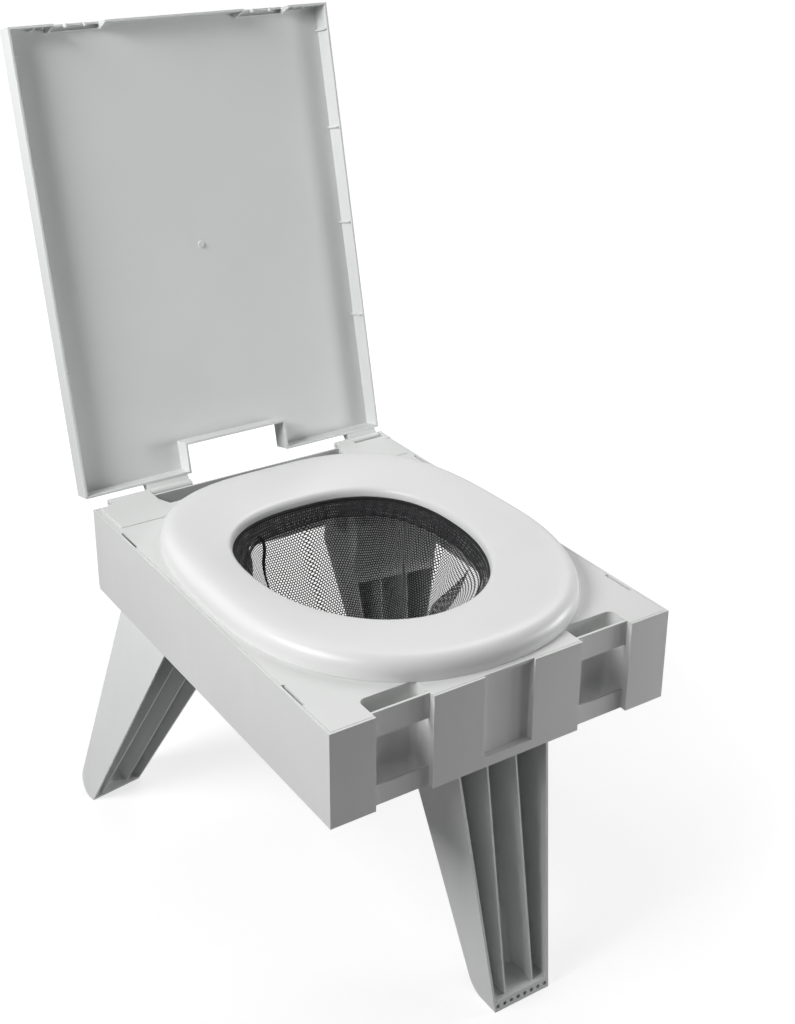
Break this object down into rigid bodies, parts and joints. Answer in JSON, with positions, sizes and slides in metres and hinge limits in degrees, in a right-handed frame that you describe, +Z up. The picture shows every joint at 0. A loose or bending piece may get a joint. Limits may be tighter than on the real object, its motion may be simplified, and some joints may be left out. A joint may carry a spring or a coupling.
{
  "type": "folding portable toilet",
  "caption": "Shallow plastic case on a tripod of folding legs, with a moulded toilet seat over a hanging mesh bag and a hinged lid that shuts over the seat for carrying.",
  "frame": {"origin": "centre of the box that holds the open toilet, at floor level", "axes": "+Z up, -Y out of the front leg, +X to the right of someone facing the open lid from the front"},
  "size_m": [0.4594, 0.6948, 0.8514],
  "materials": {
    "case_plastic": "fine matt moulded texture",
    "seat_plastic": "satin",
    "lid_plastic": "fine matt moulded texture",
    "leg_plastic": "fine matt moulded texture",
    "bracket_plastic": "fine matt moulded texture",
    "mesh_fabric": "knitted mesh",
    "tape_fabric": "braided tape",
    "steel": "zinc plated"
  },
  "bodies": {
    "base": {"base_tub": "case_plastic", "deck_plate": "case_plastic", "seat_ring": "seat_plastic", "net_clips": "bracket_plastic", "net_hoop": "tape_fabric", "net_bag": "mesh_fabric", "drawstring_tape": "tape_fabric", "hinge_base_left": "case_plastic", "hinge_base_right": "case_plastic", "hinge_pin_left": "steel", "hinge_pin_right": "steel", "front_leg_bracket": "bracket_plastic", "rear_leg_bracket_left": "bracket_plastic", "rear_leg_bracket_right": "bracket_plastic", "front_leg_pin": "steel", "rear_leg_pin_left": "steel", "rear_leg_pin_right": "steel", "bracket_screws": "steel", "pin_clips": "steel"},
    "lid": {"lid_shell": "lid_plastic", "lid_hinge_left": "case_plastic", "lid_hinge_right": "case_plastic"},
    "front_leg": {"front_leg": "leg_plastic"},
    "rear_leg_left": {"rear_leg_left": "leg_plastic"},
    "rear_leg_right": {"rear_leg_right": "leg_plastic"}
  },
  "joints": [
    {"name": "lid_hinge", "type": "hinge", "parent": "base", "child": "lid", "pos_m": [0, 0.20186, 0.3513], "axis": [1, 0, 0], "range_deg": [0, 103]},
    {"name": "front_leg_fold", "type": "hinge", "parent": "base", "child": "front_leg", "pos_m": [0, -0.22844, 0.322], "axis": [1, 0, 0], "range_deg": [0, 99.7], "deforming": ["net_bag"]},
    {"name": "rear_leg_left_fold", "type": "hinge", "parent": "base", "child": "rear_leg_left", "pos_m": [-0.12268, 0.09292, 0.307], "axis": [-0.9863, -0.165, 0], "range_deg": [0, 103.6]},
    {"name": "rear_leg_right_fold", "type": "hinge", "parent": "base", "child": "rear_leg_right", "pos_m": [0.12268, 0.09292, 0.307], "axis": [-0.9863, 0.165, 0], "range_deg": [0, 103.6]}
  ]
}
